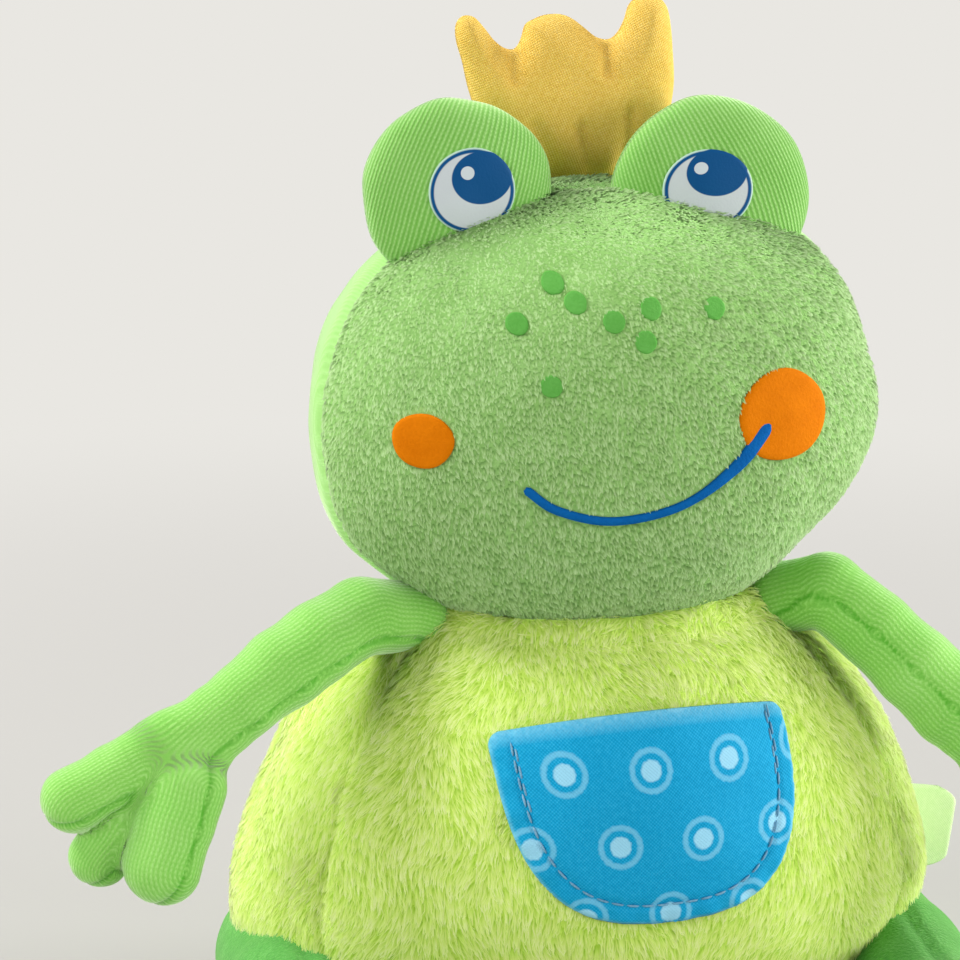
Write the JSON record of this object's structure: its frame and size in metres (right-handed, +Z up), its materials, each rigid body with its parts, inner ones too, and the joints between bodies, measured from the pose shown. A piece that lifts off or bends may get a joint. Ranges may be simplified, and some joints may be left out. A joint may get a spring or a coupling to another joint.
{
  "type": "plush frog",
  "caption": "Sitting stuffed cloth frog with a round belly, a patch pocket, standing eye bumps and a soft crown; its head, arms, legs, crown and side label bend on their seams.",
  "frame": {"origin": "centre of the flat seat under the body", "axes": "+Z up through the body, the face looks along -Y, +X towards the large cheek"},
  "size_m": [0.2671, 0.1992, 0.2621],
  "materials": {
    "body_plush": "long lime plush pile",
    "head_pile": "short green looped pile",
    "head_jersey": "smooth green jersey",
    "arm_jersey": "fine ribbed green jersey",
    "eye_knit": "ribbed green knit",
    "leg_velour": "short green velour",
    "crown_cotton": "plain-woven yellow cotton",
    "pocket_cotton": "plain-woven blue cotton, printed with rings",
    "thread": "pale blue sewing thread",
    "label_satin": "pale green woven tape, bare",
    "blue_print": "flat blue print",
    "orange_felt": "smooth orange felt",
    "freckle_felt": "green print",
    "eye_print": "printed cloth, blue on pale grey",
    "stuffing": "polyester wadding",
    "bag_cotton": "undyed cotton"
  },
  "bodies": {
    "body": {"body_front_panel": "body_plush", "body_side_panel_left": "body_plush", "body_side_panel_right": "body_plush", "body_back_panel": "body_plush", "body_base_panel": "body_plush", "body_stuffing": "stuffing", "pellet_bag": "bag_cotton", "pocket": "pocket_cotton", "pocket_stitching": "thread"},
    "neck_link": {"neck_wad": "stuffing"},
    "head": {"head_front_cover": "head_pile", "head_back_cover": "head_jersey", "head_stuffing": "stuffing", "freckle_1": "freckle_felt", "freckle_2": "freckle_felt", "freckle_3": "freckle_felt", "freckle_4": "freckle_felt", "freckle_5": "freckle_felt", "freckle_6": "freckle_felt", "freckle_7": "freckle_felt", "freckle_8": "freckle_felt", "cheek_small": "orange_felt", "cheek_large": "orange_felt", "mouth": "blue_print", "eye_front_left": "eye_knit", "eye_back_left": "eye_knit", "eye_stuffing_left": "stuffing", "eye_print_left": "eye_print", "eye_front_right": "eye_knit", "eye_back_right": "eye_knit", "eye_stuffing_right": "stuffing", "eye_print_right": "eye_print"},
    "crown": {"crown_front_panel": "crown_cotton", "crown_back_panel": "crown_cotton", "crown_stuffing": "stuffing"},
    "label": {"side_label": "label_satin"},
    "shoulder_left": {"shoulder_wad_left": "stuffing"},
    "arm_left": {"arm_front_panel_left": "arm_jersey", "arm_back_panel_left": "arm_jersey", "arm_stuffing_left": "stuffing"},
    "leg_left": {"leg_outer_panel_left": "leg_velour", "leg_inner_panel_left": "leg_velour", "leg_stuffing_left": "stuffing"},
    "shoulder_right": {"shoulder_wad_right": "stuffing"},
    "arm_right": {"arm_front_panel_right": "arm_jersey", "arm_back_panel_right": "arm_jersey", "arm_stuffing_right": "stuffing"},
    "leg_right": {"leg_outer_panel_right": "leg_velour", "leg_inner_panel_right": "leg_velour", "leg_stuffing_right": "stuffing"}
  },
  "joints": [
    {"name": "neck_turn", "type": "hinge", "parent": "body", "child": "neck_link", "pos_m": [0, -0.01, 0.112], "axis": [0, 0, 1], "range_deg": [-20, 20], "stiffness_Nm_per_rad": 0.15},
    {"name": "neck_nod", "type": "hinge", "parent": "neck_link", "child": "head", "pos_m": [0, -0.01, 0.112], "axis": [1, 0, 0], "range_deg": [-10, 12], "stiffness_Nm_per_rad": 0.6},
    {"name": "crown_flop", "type": "hinge", "parent": "head", "child": "crown", "pos_m": [-0.00031, -0.002, 0.22126], "axis": [0.9866, 0, 0.1633], "range_deg": [-25, 0], "stiffness_Nm_per_rad": 0.02},
    {"name": "label_fold", "type": "hinge", "parent": "body", "child": "label", "pos_m": [0.08343, 0.00752, 0.048], "axis": [0, 0, 1], "range_deg": [-50, 50], "stiffness_Nm_per_rad": 0.002},
    {"name": "arm_left_swing", "type": "hinge", "parent": "body", "child": "shoulder_left", "pos_m": [-0.046, -0.02, 0.11], "axis": [0, 0, 1], "range_deg": [-15, 15], "stiffness_Nm_per_rad": 0.06},
    {"name": "arm_left_raise", "type": "hinge", "parent": "shoulder_left", "child": "arm_left", "pos_m": [-0.046, -0.02, 0.11], "axis": [-0.3584, 0.9336, 0], "range_deg": [-8, 25], "stiffness_Nm_per_rad": 0.12},
    {"name": "leg_left_splay", "type": "hinge", "parent": "body", "child": "leg_left", "pos_m": [-0.073, 0.008, 0.0195], "axis": [0, 0, 1], "range_deg": [-35, 0], "stiffness_Nm_per_rad": 0.05},
    {"name": "arm_right_swing", "type": "hinge", "parent": "body", "child": "shoulder_right", "pos_m": [0.046, -0.02, 0.11], "axis": [0, 0, 1], "range_deg": [-15, 15], "stiffness_Nm_per_rad": 0.06},
    {"name": "arm_right_raise", "type": "hinge", "parent": "shoulder_right", "child": "arm_right", "pos_m": [0.046, -0.02, 0.11], "axis": [-0.3584, -0.9336, 0], "range_deg": [-8, 25], "stiffness_Nm_per_rad": 0.12},
    {"name": "leg_right_splay", "type": "hinge", "parent": "body", "child": "leg_right", "pos_m": [0.073, 0.008, 0.0195], "axis": [0, 0, 1], "range_deg": [0, 35], "stiffness_Nm_per_rad": 0.05}
  ]
}
